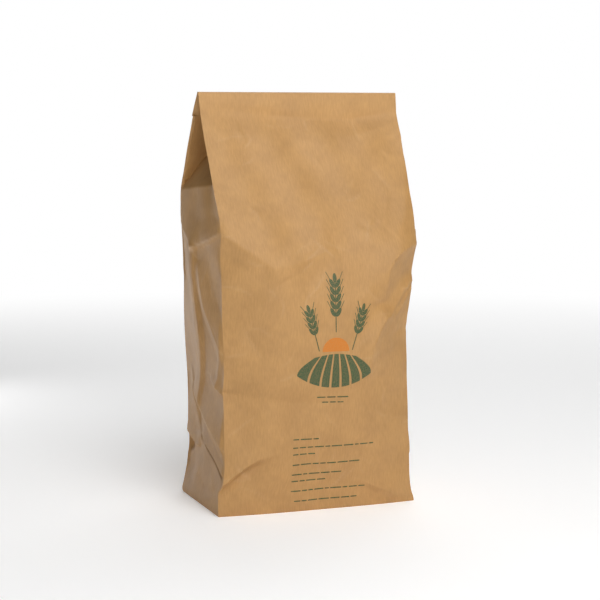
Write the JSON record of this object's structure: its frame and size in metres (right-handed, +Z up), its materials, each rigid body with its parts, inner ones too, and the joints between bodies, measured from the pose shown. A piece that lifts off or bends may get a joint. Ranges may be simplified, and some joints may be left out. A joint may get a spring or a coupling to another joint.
{
  "type": "bag of flour",
  "caption": "Filled block-bottom kraft paper bag of flour: flat base, soft bulging front, side gussets, gable top folded over at a straight ridge.",
  "frame": {"origin": "centre of the bounding box in X and Y, at the height of the flat base", "axes": "+Z up, -Y out of the front panel, +X to the right as seen from the front"},
  "size_m": [0.1733, 0.1386, 0.3192],
  "materials": {
    "kraft_paper": "matt brown kraft paper with fine fibres and creases"
  },
  "bodies": {
    "root": {"flour_bag": "kraft_paper"}
  },
  "joints": []
}
